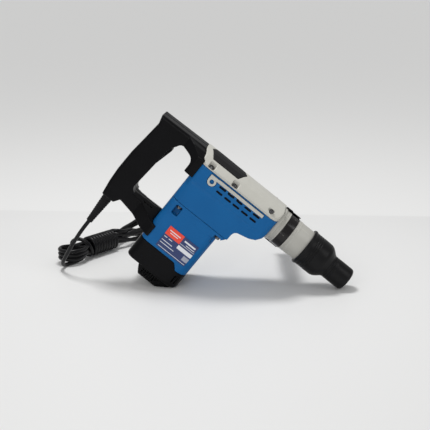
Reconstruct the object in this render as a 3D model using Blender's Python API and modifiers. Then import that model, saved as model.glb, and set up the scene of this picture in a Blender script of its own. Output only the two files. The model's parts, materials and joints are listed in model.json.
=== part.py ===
"""An L-shaped electric jackhammer: D-handle, side handle, hammer mechanism, motor and mains cord.

The machine is modelled in its own frame: the barrel runs along +X through the origin, the motor's axis is Z,
and the side that carries the rating plate faces -Y. An empty tilts that frame, so that the machine rests on
its end cap and its nose. The cord, its hank and the plug lie on the floor in world coordinates.
All sizes are millimetres, turned to metres as the meshes are made.
"""
import math

import bmesh
import bpy
from mathutils import Matrix, Vector

MM = 0.001
GAP = 0.3                       # clearance between pieces that touch
TILT = math.radians(38.4)       # the barrel points this far below the horizontal

# driving dimensions of the hammer end
BARREL_R = 28.5
FRONT_X = 108.6                 # front face of the housings, where the barrel bolts on
BAND_X = (122.7, 138.6)
SLEEVE_X = (170.5, 224.0)
SLEEVE_R = 31.8
NOSE_R = 20.5
NOSE_END = 263.5
NOSE_ROUND = 6.0

# driving dimensions of the housings
REAR_X = -50.0
HALF_WIDTH = 46.5
CREST_Z = 32.0                  # highest line of the top housing
PARTING_Z = 12.5                # joint between top housing and gear housing
GEAR_BOTTOM_Z = -62.0           # joint between gear housing and motor housing
MOTOR_X = (-50.0, 49.6)
MOTOR_HALF = 46.0               # half width of the motor housing
MOTOR_WALL = 3.6
CAP_TOP_Z = -149.5
CAP_SHOULDER_Z = -190.0
CAP_BOTTOM_Z = -209.5

# driving dimensions of the drive train
BORE_R = 17.3                   # cylinder bore
CRANK_X = 30.0
CRANK_THROW = 13.0
PINION_R = 6.0
WRIST_X = CRANK_X - CRANK_THROW + 53.0

# driving dimensions of the handles
ARM_HALF = 21.0                 # half width of the D-handle
GUARD_X = -134.0                # axis of the cord guard under the grip
HANDLE_FALL = math.radians(12)  # the side handle points this far below the +Y side
STUD_X = 130.6

# cord, laid out on the floor around the point under the tool's origin
CORD_R = 3.5
HANK_START = (-288.5, 78.0)     # centres of the hank's two round ends
HANK_END = (-187.0, 250.0)
HANK_R = 24.5
HANK_HEIGHT = 39.0
PLUG_LENGTH = 42.0
PLUG_R = 17.0
PIN_SPACING = 19.0
# the stretch between the cord guard and the hank: it drops to the floor and bends back behind the tool
CORD_ROUTE = ((-242.9, 0.2, 86.6), (-255.5, 4, 69), (-269, 11, 49), (-281, 20, 30), (-291, 31, 13), (-296, 44, 4.5))


def clear_scene():
    for item in list(bpy.data.objects):
        bpy.data.objects.remove(item, do_unlink=True)


def collection(name):
    group = bpy.data.collections.new(name)
    bpy.context.scene.collection.children.link(group)
    return group


def material(name, colour, roughness, metallic=0.0):
    made = bpy.data.materials.new(name)
    made.use_nodes = True
    shader = made.node_tree.nodes["Principled BSDF"]
    shader.inputs["Base Color"].default_value = (*colour, 1.0)
    shader.inputs["Roughness"].default_value = roughness
    shader.inputs["Metallic"].default_value = metallic
    return made


clear_scene()
PARTS = collection("electric_jackhammer")
CUTTERS = collection("cutters")

BLUE = material("blue_plastic", (0.010, 0.105, 0.305), 0.42)
GREY = material("warm_grey_paint", (0.560, 0.555, 0.500), 0.45)
BLACK = material("black_plastic", (0.006, 0.006, 0.007), 0.42)
RUBBER = material("black_rubber", (0.008, 0.008, 0.009), 0.65)
STEEL = material("ground_steel", (0.52, 0.52, 0.54), 0.28, 1.0)
DARK_STEEL = material("blackened_steel", (0.06, 0.06, 0.065), 0.38, 1.0)
ALUMINIUM = material("cast_aluminium", (0.60, 0.61, 0.62), 0.45, 1.0)
COPPER = material("copper", (0.72, 0.34, 0.18), 0.32, 1.0)
CARBON = material("carbon", (0.02, 0.02, 0.02), 0.70)
RED = material("red_label", (0.80, 0.06, 0.02), 0.40)
PVC = material("black_pvc", (0.008, 0.008, 0.008), 0.40)

ground = bpy.data.objects.new("ground", None)
bpy.context.scene.collection.objects.link(ground)
tool = bpy.data.objects.new("tool", None)
bpy.context.scene.collection.objects.link(tool)
tool.parent = ground
tool.rotation_euler = (0.0, TILT, 0.0)

ALONG_X = Matrix.Rotation(math.radians(90), 4, "Y")
ALONG_Y = Matrix.Rotation(math.radians(-90), 4, "X")
ALONG_Z = Matrix.Identity(4)


def add(name, mesh, look, matrix=ALONG_Z, parent=tool, smooth=30.0):
    """An object for one piece; a piece without a material is a cutter."""
    made = bpy.data.objects.new(name, mesh)
    made.parent = parent
    made.matrix_basis = matrix
    if look is None:
        made.hide_render = True
        made.display_type = "WIRE"
        CUTTERS.objects.link(made)
    else:
        mesh.materials.append(look)
        mesh.shade_smooth()
        mesh.set_sharp_from_angle(angle=math.radians(smooth))
        PARTS.objects.link(made)
    return made


def at(x, y, z, turn=ALONG_Z):
    return Matrix.Translation(Vector((x, y, z)) * MM) @ turn


def turned(name, profile, look, matrix=ALONG_X, steps=32, closed=False, parent=tool):
    """A turned piece from (radius, height) points that run down its outer side; closed for a ring."""
    mesh = bpy.data.meshes.new(name)
    points = [(r * MM, 0.0, h * MM) for r, h in profile]
    edges = [(i, i + 1) for i in range(len(points) - 1)]
    if closed:
        edges.append((len(points) - 1, 0))
    mesh.from_pydata(points, edges, [])
    made = add(name, mesh, look, matrix, parent)
    screw = made.modifiers.new("turn", "SCREW")
    screw.steps = screw.render_steps = steps
    screw.use_merge_vertices = True
    screw.merge_threshold = 0.00001
    return made


def ring(name, radii, span, look, matrix=ALONG_X, steps=32, parent=tool):
    inner, outer = radii
    low, high = span
    return turned(name, [(outer, high), (outer, low), (inner, low), (inner, high)], look, matrix, steps,
                  closed=True, parent=parent)


def rod(name, radius, span, look, matrix=ALONG_X, steps=16, chamfer=0.0, parent=tool):
    low, high = span
    if chamfer:
        sides = [(radius - chamfer, high), (radius, high - chamfer), (radius, low + chamfer),
                 (radius - chamfer, low)]
    else:
        sides = [(radius, high), (radius, low)]
    return turned(name, [(0, high), *sides, (0, low)], look, matrix, steps, parent=parent)


def block(name, low, high, look, bevel=0.0, parent=tool):
    mesh = bpy.data.meshes.new(name)
    shape = bmesh.new()
    size = [(b - a) * MM for a, b in zip(low, high)]
    middle = Vector([(a + b) / 2 * MM for a, b in zip(low, high)])
    bmesh.ops.create_cube(shape, size=1.0)
    bmesh.ops.scale(shape, vec=size, verts=shape.verts)
    bmesh.ops.translate(shape, vec=middle, verts=shape.verts)
    shape.to_mesh(mesh)
    shape.free()
    made = add(name, mesh, look, parent=parent)
    if bevel:
        rounding = made.modifiers.new("edges", "BEVEL")
        rounding.width = bevel * MM
        rounding.segments = 2
    return made


def prism(name, outline, span, look, plane="XZ", holes=(), round_edge=0.0, matrix=None):
    """A flat outline in the named plane, extruded over a span of the third axis; edges may be rounded."""
    curve = bpy.data.curves.new(name, "CURVE")
    curve.dimensions = "2D"
    curve.fill_mode = "BOTH"
    for points in (outline, *holes):
        spline = curve.splines.new("POLY")
        spline.points.add(len(points) - 1)
        for target, (u, v) in zip(spline.points, points):
            target.co = (u * MM, v * MM, 0.0, 1.0)
        spline.use_cyclic_u = True
    low, high = span
    curve.extrude = ((high - low) / 2 - round_edge) * MM
    if round_edge:
        curve.bevel_depth = round_edge * MM
        curve.bevel_resolution = 1
        curve.offset = -round_edge * MM
    middle = (low + high) / 2
    frames = {
        "XZ": at(0, middle, 0, Matrix.Rotation(math.radians(90), 4, "X")),
        "XY": at(0, 0, middle),
        "YZ": at(middle, 0, 0, Matrix(((0, 0, 1, 0), (1, 0, 0, 0), (0, 1, 0, 0), (0, 0, 0, 1)))),
    }
    guide = bpy.data.objects.new(name + "_curve", curve)
    CUTTERS.objects.link(guide)
    bpy.context.view_layer.update()
    flat = bpy.data.meshes.new_from_object(guide.evaluated_get(bpy.context.evaluated_depsgraph_get()))
    bpy.data.objects.remove(guide, do_unlink=True)
    shape = bmesh.new()
    shape.from_mesh(flat)
    bmesh.ops.remove_doubles(shape, verts=shape.verts, dist=0.00001)
    bmesh.ops.dissolve_limit(shape, angle_limit=0.001, verts=shape.verts, edges=shape.edges)
    shape.transform(frames[plane])
    bmesh.ops.recalc_face_normals(shape, faces=shape.faces)
    if shape.calc_volume(signed=True) < 0:
        bmesh.ops.reverse_faces(shape, faces=shape.faces)
    mesh = bpy.data.meshes.new(name)
    shape.to_mesh(mesh)
    shape.free()
    bpy.data.meshes.remove(flat)
    return add(name, mesh, look, matrix or ALONG_Z)


def combine(target, other, operation="DIFFERENCE"):
    step = target.modifiers.new(other.name, "BOOLEAN")
    step.operation = operation
    step.solver = "EXACT"
    step.object = other
    return target


def arc(centre, radius, start, end, count):
    """Points of an arc, in degrees, both ends included."""
    angles = [math.radians(start + (end - start) * i / (count - 1)) for i in range(count)]
    return [(centre[0] + radius * math.cos(a), centre[1] + radius * math.sin(a)) for a in angles]


def rounded_box(low, high, radii, count=4):
    """A rectangle's outline with its four corners rounded, from the lower left corner round."""
    corners = [(low[0], low[1], 180, 1, 1), (high[0], low[1], 270, -1, 1),
               (high[0], high[1], 0, -1, -1), (low[0], high[1], 90, 1, -1)]
    points = []
    for (x, y, start, sx, sy), radius in zip(corners, radii):
        points += arc((x + sx * radius, y + sy * radius), radius, start, start + 90, count)
    return points


# ---- housings ------------------------------------------------------------------------------------------

def mirrored(points):
    """Close an outline that starts and ends on the mirror line by its mirror image in the first axis."""
    return points + [(-u, v) for u, v in reversed(points) if abs(u) > 0.001]


def housing(name, section, side, plan, look):
    """The solid common to three outlines: the front section, the side profile and the plan."""
    made = prism(name, side, (-60, 60), look)
    for view, outline, span, plane in (("section", section, (-90, 140), "YZ"),
                                       ("plan", plan, (-260, 60), "XY")):
        combine(made, prism(f"{name}_{view}", outline, span, None, plane), "INTERSECT")
    return made


def plan_outline(inset):
    """Plan of the upper housings: rounded at all corners, with the crest reaching back over the handle."""
    half, rear = HALF_WIDTH + 0.5 - inset, REAR_X - 0.5 + inset
    near = [(rear - 8.5, -29), (rear, -31), *arc((rear + 14, 14 - half), 14, 180, 270, 4),
            *arc((FRONT_X - inset - 16, 16 - half), 16, 270, 360, 4)]
    return near + [(x, -y) for x, y in reversed(near)]


def top_section(inset):
    """Arched section of the top housing above the parting plane."""
    half = HALF_WIDTH - inset
    low = PARTING_Z + GAP / 2 - (5 if inset else 0)
    return mirrored([(half, low), (half, 16.5), (31 - inset / 2, 27.5 - inset), (15, 31 - inset),
                     (0, CREST_Z - inset)])


def build_top_housing():
    side = [(REAR_X, PARTING_Z), (FRONT_X, PARTING_Z), (FRONT_X, 29.5), (FRONT_X - 3, CREST_Z + 1),
            (REAR_X - 8.6, CREST_Z + 1), (REAR_X - 2.8, 27.7), (REAR_X, 25.2)]
    top = housing("top_housing", top_section(0), side, plan_outline(0), GREY)
    core_side = [(REAR_X + 4, 4), (FRONT_X - 5, 4), (FRONT_X - 5, CREST_Z), (REAR_X + 4, CREST_Z)]
    core = housing("top_core", top_section(3.5), core_side, plan_outline(4), None)
    for side_y in (-1, 1):
        low, high = sorted((side_y * 33.5, side_y * 60))
        for index, (x, z) in enumerate(COVER_SCREWS):
            combine(core, block(f"boss_{index}_{side_y}", (x - 8.3, low, -10), (x + 8.3, high, 60), None))
    combine(top, core)
    combine(top, rod("top_barrel_seat", 26.6, (FRONT_X - 20, FRONT_X + 5), None, steps=32))
    combine(top, pad_body("top_pad_seat", GAP, None))
    for side_y in (-1, 1):
        for index, (x, z) in enumerate(COVER_SCREWS):
            low, high = sorted((side_y * 36, side_y * 60))
            pocket = block(f"pocket_{index}_{side_y}", (x - 5.8, low, z - 4.5), (x + 5.8, high, 40), None)
            combine(top, pocket)
            combine(top, rod(f"hole_{index}_{side_y}", 2.6, (-16, 14), None,
                             at(x, side_y * 40.6, z - 4, ALONG_Z), 8))
    return top


COVER_SCREWS = ((-30.2, 19.0), (17.3, 19.0), (89.3, 24.5))


def pad_plan(inset):
    """Hexagonal plan of the rubber pad, widest over the crest."""
    wide, narrow, half = 36 - inset, 25.5 - inset, 32 - inset
    centre = -10.5
    return [(centre - narrow, -half), (centre + narrow, -half), (centre + wide, 0),
            (centre + narrow, half), (centre - narrow, half), (centre - wide, 0)]


def pad_body(name, margin, look):
    """The pad follows the arch of the top housing, let in by 2 mm."""
    low = 2.0 + margin
    outer = [(40, 21), (31, 27.5), (15, 31), (0, CREST_Z)]
    inner = [(40, 21 - low), (31, 27.5 - low), (15, 31 - low), (0, CREST_Z - low)]
    if look is None:
        outer = [(y, z + 5) for y, z in outer]
    outline = mirrored(outer) + list(reversed(mirrored(inner)))
    shape = prism(name, outline, (-60, 60), look, "YZ")
    combine(shape, prism(name + "_plan", pad_plan(-margin if look is None else 0), (0, 60), None, "XY"),
            "INTERSECT")
    return shape


def gear_side(inset):
    """Side profile of the gear housing, whose nose sweeps up to the barrel."""
    nose = [(63.5, GEAR_BOTTOM_Z), (63.5, -50.5)] + arc((73.5, -50.5), 10, 180, 90, 4)
    nose += [(88, -37), (99, -32), (106, -24.5), (FRONT_X, -16)]
    top = PARTING_Z - GAP / 2
    outline = [(REAR_X, GEAR_BOTTOM_Z), *nose, (FRONT_X, top), (REAR_X, top)]
    if not inset:
        return outline
    core = [(REAR_X + inset, GEAR_BOTTOM_Z - 5), (63.5 - inset, GEAR_BOTTOM_Z - 5), (63.5 - inset, -46)]
    core += [(70, -36.5), (88, -32.5), (97, -27.5), (FRONT_X - inset - 1, -18), (FRONT_X - inset - 1, 20),
             (REAR_X + inset, 20)]
    return core


def gear_section(inset):
    """Section of the gear housing: straight flanks, tucked in a little under the step line."""
    half = HALF_WIDTH - inset
    return mirrored([(0, -80), (half + 1, -80), (half + 1, -25), (half - 1.2, -18.5), (half, -17.3),
                     (half, 15), (0, 15)])


def build_gear_housing():
    half = HALF_WIDTH + 0.5
    plan = rounded_box((REAR_X - 0.5, -half), (FRONT_X, half), (14, 16, 16, 14))
    inner_plan = rounded_box((REAR_X + 3.5, 4 - half), (FRONT_X - 4, half - 4), (11, 13, 13, 11))
    case = housing("gear_housing", gear_section(0), gear_side(0), plan, BLUE)
    core = housing("gear_core", mirrored([(0, -80), (HALF_WIDTH - 4, -80), (HALF_WIDTH - 4, 20), (0, 20)]),
                   gear_side(4), inner_plan, None)
    for side_y in (-1, 1):
        low, high = sorted((side_y * 35.5, side_y * 60))
        for x, z in COVER_SCREWS:
            boss = block(f"thread_boss_{x}_{side_y}", (x - 5.5, low, -6), (x + 5.5, high, 60), None)
            combine(core, boss)
        for x in (MOTOR_BOLTS[0][0], MOTOR_BOLTS[1][0]):
            combine(core, block(f"bolt_boss_{x}_{side_y}", (x - 5.5, low, -90), (x + 5.5, high, -50), None))
    combine(case, core)
    combine(case, rod("gear_barrel_seat", 26.6, (FRONT_X - 20, FRONT_X + 5), None, steps=32))
    for side_y in (-1, 1):
        low, high = sorted((side_y * (HALF_WIDTH - 2.6), side_y * 60))
        seat = [(-24, 11.2), *arc((-15.4, -0.8), 8.6, 180, 393, 12), (84.6, 3.9), (84.6, 11.2)]
        combine(case, prism(f"trim_seat_{side_y}", seat, (low, high), None))
        for row, z in enumerate((1.1, -7.9)):
            for index in range(5):
                x = -1.4 + 17.3 * index
                combine(case, block(f"vent_{side_y}_{row}_{index}", (x, low + 0.5 * (side_y < 0), z - 1.6),
                                    (x + 13.5, high - 0.5 * (side_y > 0), z + 1.6), None))
        for index, (x, z) in enumerate(COVER_SCREWS):
            thread = rod(f"case_thread_{side_y}_{index}", 2.6, (-2, 18), None, at(x, side_y * 40.6, 0), 8)
            combine(case, thread)
    for index, (x, y) in enumerate(MOTOR_BOLTS):
        combine(case, rod(f"case_hole_{index}", 2.9, (-70, -50), None, at(x, y, 0), 8))
    return case


MOTOR_BOLTS = ((-30.0, -40.5), (49.0, -40.5), (-30.0, 40.5), (49.0, 40.5))


def build_trim(side_name, side_y):
    """The strip beside the vents, which ends in an eyelet."""
    low, high = sorted((side_y * (HALF_WIDTH - 2.3), side_y * (HALF_WIDTH + 0.4)))
    eye = arc((-15.4, -0.8), 7.6, 180, 402, 11)
    outline = [(-23.0, 9.2), *eye, (84.2, 4.2), (84.2, 9.8), (-6, 9.8), (-9, 9.2)]
    return prism(f"vent_trim_{side_name}", outline, (low, high), GREY,
                 holes=[list(reversed(arc((-15.4, -0.8), 3.9, 0, 330, 12)))])


def motor_plan(inset):
    """Plan of the motor housing: a box with wide corners towards the barrel and tighter ones at the rear."""
    low, high = (MOTOR_X[0] + inset, inset - MOTOR_HALF), (MOTOR_X[1] - inset, MOTOR_HALF - inset)
    return rounded_box(low, high, (12 - inset, 19 - inset, 19 - inset, 12 - inset), 6)


def cap_line(margin):
    """The stepped joint between motor housing and end cap, seen from the side."""
    top = CAP_TOP_Z - margin
    return [(-70, top), (21 - margin / 2, top), (30 - margin / 2, top - 10.5), (60, top - 10.5)]


def build_motor_housing():
    flange_z = GEAR_BOTTOM_Z - GAP
    can = prism("motor_housing", motor_plan(0), (CAP_TOP_Z - 13, flange_z - 1), BLUE, "XY")
    side = [(REAR_X, flange_z), (62, flange_z), (62, flange_z - 2), (51, flange_z - 11.5),
            (REAR_X, flange_z - 11.5)]
    plan = rounded_box((REAR_X - 0.5, -HALF_WIDTH - 1), (63.5, HALF_WIDTH + 1), (14, 14, 14, 14))
    flange = housing("motor_flange", mirrored([(0, -90), (HALF_WIDTH, -90), (HALF_WIDTH, -60),
                                               (0, -60)]), side, plan, None)
    combine(can, flange, "UNION")
    bore = prism("motor_bore", motor_plan(MOTOR_WALL), (-200, -50), None, "XY")
    for index, (x, y) in enumerate(MOTOR_BOLTS):
        low, high = sorted((y * 0.8, y * 1.5))
        combine(bore, block(f"flange_boss_{index}", (x - 8.5, low, -87), (x + 8.5, high, -40), None))
    combine(can, bore)
    for index, (x, y) in enumerate(MOTOR_BOLTS):
        combine(can, rod(f"flange_hole_{index}", 2.9, (-90, -50), None, at(x, y, 0), 8))
        low, high = sorted((y - math.copysign(5.5, y), y * 1.5))
        combine(can, block(f"bolt_pocket_{index}", (x - 6, low, -84.5), (x + 6, high, flange_z - 5), None))
    combine(can, prism("can_end", [*cap_line(0), (60, -220), (-70, -220)], (-60, 60), None))
    return can


def resting_height():
    """Height of the tool's origin over the floor, from the rounded rim of the nose."""
    x, z = NOSE_END - NOSE_ROUND, NOSE_R - NOSE_ROUND
    return x * math.sin(TILT) + z * math.cos(TILT) + NOSE_ROUND


def floor_z(x):
    """Tool-frame height of the floor plane at a given x."""
    return (x * math.sin(TILT) - resting_height()) / math.cos(TILT)


def build_end_cap():
    """The cap: a shell whose vented foot is cut flat, parallel to the floor."""
    cap = prism("end_cap", motor_plan(-0.4), (CAP_SHOULDER_Z, -130), BLACK, "XY", round_edge=3.5)
    foot_side = [(-26, CAP_SHOULDER_Z + 4), (-24, CAP_SHOULDER_Z - 4), (-15, CAP_BOTTOM_Z),
                 (24, CAP_BOTTOM_Z), (47.5, CAP_SHOULDER_Z - 1), (47.5, CAP_SHOULDER_Z + 4)]
    foot_plan = rounded_box((-27, -37), (48.5, 37), (14, 18, 18, 14), 5)
    foot_section = mirrored([(0, CAP_BOTTOM_Z - 1), (32, CAP_BOTTOM_Z - 1), (38, CAP_SHOULDER_Z + 5),
                             (0, CAP_SHOULDER_Z + 5)])
    foot = housing("cap_foot", foot_section, foot_side, foot_plan, None)
    combine(cap, foot, "UNION")
    keep = [(-70, floor_z(-70)), (70, floor_z(70)), (70, floor_z(70) - 80), (-70, floor_z(-70) - 80)]
    combine(cap, prism("floor_cut", keep, (-60, 60), None))
    combine(cap, prism("cap_bore", motor_plan(MOTOR_WALL), (CAP_SHOULDER_Z + MOTOR_WALL, -120), None, "XY"))
    hollow = housing("cap_hollow", mirrored([(0, CAP_BOTTOM_Z + 3.5), (28.5, CAP_BOTTOM_Z + 3.5),
                                             (34, CAP_SHOULDER_Z + 8), (0, CAP_SHOULDER_Z + 8)]),
                     [(-21, CAP_SHOULDER_Z + 7), (-12.5, CAP_BOTTOM_Z + 3.5), (17, CAP_BOTTOM_Z + 3.5),
                      (37, CAP_SHOULDER_Z + 1), (37, CAP_SHOULDER_Z + 7)],
                     rounded_box((-23, -33), (42, 33), (10, 14, 14, 10)), None)
    combine(cap, hollow)
    combine(cap, prism("cap_top", [*cap_line(GAP), (60, -100), (-70, -100)], (-60, 60), None))
    for index in range(9):
        x = -12.5 + 4.5 * index
        combine(cap, block(f"foot_slot_{index}", (x, -60, CAP_BOTTOM_Z + 4 + 3.6 * max(0, index - 5)),
                           (x + 2.2, 60, CAP_SHOULDER_Z - 3.6), None))
    for index in range(2):
        combine(cap, block(f"cap_slot_{index}", (36.0 + 5 * index, -60, -181.5),
                           (38.4 + 5 * index, 60, -166.5), None))
    return cap


def build_name_plate():
    """A thin plate on the near face, bent a little round the front corner."""
    corner = (MOTOR_X[1] - 19, 19 - MOTOR_HALF)
    outer = [(-22.0, -MOTOR_HALF - 0.8), *arc(corner, 19.8, -90, -71, 4)]
    inner = [*arc(corner, 19.3, -71, -90, 4), (-22.0, -MOTOR_HALF - 0.3)]
    return prism("name_plate", outer + inner, (-144.0, -102.0), RED, "XY")


# ---- D-handle ------------------------------------------------------------------------------------------

def handle_outline():
    """Outer edge of the D-handle in side view."""
    return [(-145.4, 27.6), (-49.0, 30.0), (-49.0, -141.5), (-79, -139), (-114, -132.5), (-121, -143.5),
            (-144.5, -143.5), (-147.8, -118), (-149.2, -92), (-148.2, -55), (-144.5, -20), (-141.4, 12)]


def hand_opening():
    """The opening that the hand goes through, with rounded corners."""
    lower = arc((-101.0, -98), 8.5, 270, 180, 4)
    grip_front = [(-107.2, -72), (-105.8, -53.5), (-102.0, -10)]
    upper = arc((-85, -1.5), 10.2, 165, 95, 4) + arc((-72, -3), 10.5, 80, 0, 4)
    return [(-38, -105.0), (-56, -105.5), (-62, -106.5), *lower, *grip_front, *upper, (-61.5, -17.0),
            (-38, -17.0)]


def build_handle():
    core = prism("handle_body", handle_outline(), (-ARM_HALF, ARM_HALF), None, round_edge=4.0)
    foot = prism("handle_foot", [(-90, 8.5), (-68, 3), (-63, -2), (-63, -16.5), (-40, -16.5), (-40, 29.9),
                                 (-90, 28.6)], (-60, 60), None)
    combine(foot, prism("foot_plan", mirrored_y([(-44.5, 46.4), (-58, 45.5), (-88, 20), (-92, 18)]), (-30, 40),
                        None, "XY"), "INTERSECT")
    combine(foot, prism("foot_section", mirrored([(0, -30), (50, -30), (50, 17), (31, 26), (15, 29),
                                                  (0, 30)]), (-100, -40), None, "YZ"), "INTERSECT")
    yoke = prism("handle_yoke", [(-88, -104.2), (-62, -104.2), (-56, -102.8), (-42, -102.8), (-40, -118),
                                 (-40.5, -142), (-60, -140.9), (-88, -136.7)], (-60, 60), None)
    combine(yoke, prism("yoke_plan", mirrored_y([(-30, 47.6), (-46, 47.6), (-58, 42), (-84, 20.5), (-92, 18)]),
                        (-160, -80), None, "XY"), "INTERSECT")
    combine(core, foot, "UNION")
    combine(core, yoke, "UNION")
    opening = prism("hand_opening", hand_opening(), (-60, 60), None)
    combine(core, opening)
    combine(core, prism("yoke_seat", motor_plan(-GAP), (-150, -60), None, "XY"))
    case = rounded_box((REAR_X - 0.8, -HALF_WIDTH - 0.8), (20, HALF_WIDTH + 0.8), (14.3, 1, 1, 14.3))
    combine(core, prism("case_seat", case, (-60, 24.8), None, "XY"))
    crest = [(20, 24.7), (REAR_X - 0.4, 24.7), (REAR_X - 3.4, 27.2), (REAR_X - 9.5, 33.5), (20, 45)]
    combine(core, prism("crest_seat", crest, (-60, 60), None))
    for index, (low, high) in enumerate((((-141, -17, -129), (-112, 17, 14)),
                                         ((-132, -16, 12), (-72, 16, 24.5)),
                                         ((-127, -16.5, -128), (-62, 16.5, -110)))):
        combine(core, block(f"handle_hollow_{index}", low, high, None))
    combine(core, block("trigger_slot", (-126, -9, -52.4), (-95, 9, -7.6), None))
    combine(core, turned("guard_bore", [(0, -125), (9.8, -125), (9.8, -136), (7.4, -136), (7.4, -150),
                                        (0, -150)], None, at(GUARD_X, 0, 0), 16))
    combine(core, rod("trigger_pin_bore", 2.3, (-15.4, 15.4), None, at(-114, 0, -48, ALONG_Y), 12))
    halves = []
    for name, span in (("handle_near", (-60, -GAP / 2)), ("handle_far", (GAP / 2, 60))):
        half = block(name, (-160, span[0], -160), (-20, span[1], 45), BLACK)
        combine(half, core, "INTERSECT")
        halves.append(half)
    return halves


def mirrored_y(points):
    """A plan outline from its +Y half, closed by its mirror image."""
    return points + [(x, -y) for x, y in reversed(points)]


def build_trigger():
    """A paddle that turns on a pin at its lower end."""
    outline = [(-118, -45), (-117, -49), (-114, -51.8), (-108.5, -51.6), (-106.0, -51), (-104.6, -45),
               (-97.0, -13.5), (-98.3, -10.4), (-104, -10.2), (-113, -15), (-117, -30)]
    paddle = prism("trigger", outline, (-8.4, 8.4), BLACK)
    combine(paddle, rod("trigger_bore", 2.3, (-12, 12), None, at(-114, 0, -48, ALONG_Y), 12))
    return paddle


def build_handle_parts():
    rod("trigger_pin", 2.0, (-15, 15), STEEL, at(-114, 0, -48, ALONG_Y), 12)
    block("switch_block", (-139, -13, -62), (-122.5, 13, -18), BLACK)
    guard = [(9.5, -131.5), (9.5, -135.7), (7.1, -135.7), (7.1, -144.0), (9.2, -145.0), (5.4, -202.5),
             (CORD_R + GAP, -202.5), (CORD_R + GAP, -131.5)]
    turned("cord_guard", guard, RUBBER, at(GUARD_X, 0, 0), 16, closed=True)


# ---- hammer front --------------------------------------------------------------------------------------

def build_barrel():
    outer = [(26.3, FRONT_X - 14), (26.3, FRONT_X + GAP), (30.4, FRONT_X + GAP), (30.4, 113.0),
             (29.2, 114.0), (29.2, 118.0), (28.4, 118.6), (28.4, 119.8), (29.2, 120.4), (29.2, BAND_X[0] - GAP),
             (27.6, BAND_X[0] - GAP), (27.6, BAND_X[1] + GAP), (28.9, BAND_X[1] + GAP), (28.9, 148.4),
             (BARREL_R, 149.0), (BARREL_R, 177.0), (22.2, 177.0), (22.2, FRONT_X - 14)]
    turned("front_barrel", list(reversed(outer)), GREY, steps=40, closed=True)


def build_side_handle():
    turn_down = Matrix.Rotation(-HANDLE_FALL, 4, "X")
    outward = Matrix.Translation(Vector((STUD_X, 0, 0)) * MM) @ turn_down @ ALONG_Y
    ring("clamp_band", (27.9, 29.6), BAND_X, DARK_STEEL, steps=40)
    wrap = arc((0, 0), 32.6, -88, 84, 17) + arc((0, 0), 30.9, 84, -88, 17)
    saddle = prism("clamp_saddle", wrap, (114.0, 138.0), BLACK, "YZ")
    hump = prism("saddle_hump", arc((0, 0), 33.6, 60, 84, 4) + arc((0, 0), 30.9, 84, 60, 4), (109.2, 121.0),
                 None, "YZ")
    combine(saddle, hump, "UNION")
    combine(saddle, rod("saddle_boss", 14.0, (31.4, 47.0), None, outward, 20), "UNION")
    combine(saddle, rod("stud_bore", 4.5, (20, 60), None, outward, 12))
    rod("clamp_stud", 4.0, (30.0, 95.0), STEEL, outward, 12)
    grip = [(13.0, 47.6), (17.0, 49.5), (17.0, 53.0), (14.6, 56.0), (15.6, 80.0), (16.6, 115.0),
            (15.4, 150.0), (15.0, 176.0), (18.5, 182.0), (18.5, 187.0), (15.0, 190.0), (0, 190.0), (0, 100.0), (4.4, 100.0),
            (4.4, 47.6)]
    top_down = [(0, 190.0), (15.0, 190.0)] + [point for point in reversed(grip[:10])]
    turned("side_grip", top_down + [(4.4, 47.6), (4.4, 100.0), (0, 100.0)], RUBBER, outward, 24)


def build_chuck():
    x0, x1 = SLEEVE_X
    outer = [(BARREL_R + GAP, x0), (SLEEVE_R, x0), (SLEEVE_R + 0.7, x0 + 1.5), (SLEEVE_R + 0.7, x0 + 4),
             (SLEEVE_R - 0.4, x0 + 6), (SLEEVE_R - 0.6, x0 + 37), (SLEEVE_R - 2.4, x0 + 42),
             (NOSE_R + 1.2, x1 - 2), (NOSE_R + 0.4, x1), (20.0, x1), (20.0, 208.0), (16.6, 208.0),
             (16.6, 204.5), (25.5, 204.5), (BARREL_R + GAP, 200.0)]
    turned("locking_sleeve", list(reversed(outer)), RUBBER, steps=40, closed=True)
    tip = arc((NOSE_END - NOSE_ROUND, NOSE_R - NOSE_ROUND), NOSE_ROUND, 90, 15, 5)
    cap = [(16.4, x1 + GAP), (NOSE_R, x1 + GAP)] + [(r, x) for x, r in tip]
    cap += [(15.4, NOSE_END), (9.8, NOSE_END), (9.8, NOSE_END - 6), (16.4, NOSE_END - 8)]
    turned("dust_cap", list(reversed(cap)), RUBBER, steps=32, closed=True)
    holder = [(11.8, 148), (21.9, 148), (21.9, 178), (16.0, 180), (16.0, 254), (9.2, 254), (9.2, 196),
              (8.2, 196), (8.2, 188), (11.8, 186)]
    body = turned("tool_holder", list(reversed(holder)), STEEL, steps=24, closed=True)
    for sign, side_name in ((-1, "near"), (1, "far")):
        low, high = sorted((sign * 8.0, sign * 20))
        combine(body, block(f"roller_window_{side_name}", (208.5, low, -3.6), (221.5, high, 3.6), None))
        rod(f"lock_roller_{side_name}", 3.2, (209, 221), DARK_STEEL, at(0, sign * 12.0, 0, ALONG_X), 12,
            chamfer=1.0)
    points = []
    turns, per_turn, low_x, high_x = 4, 10, 181.5, 201.5
    for index in range(turns * per_turn + 1):
        angle = math.tau * index / per_turn
        x = low_x + (high_x - low_x) * index / (turns * per_turn)
        points.append((x, 22.0 * math.cos(angle), 22.0 * math.sin(angle)))
    wire("sleeve_spring", points, 1.4, STEEL, tool)


def wire(name, points, radius, look, parent, resolution=2):
    """A round wire or cord through a list of points."""
    curve = bpy.data.curves.new(name, "CURVE")
    curve.dimensions = "3D"
    spline = curve.splines.new("POLY")
    spline.points.add(len(points) - 1)
    for target, point in zip(spline.points, points):
        target.co = (*(Vector(point) * MM), 1.0)
    curve.bevel_depth = radius * MM
    curve.bevel_resolution = resolution
    curve.use_fill_caps = True
    curve.materials.append(look)
    made = bpy.data.objects.new(name, curve)
    made.parent = parent
    PARTS.objects.link(made)
    return made


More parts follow.
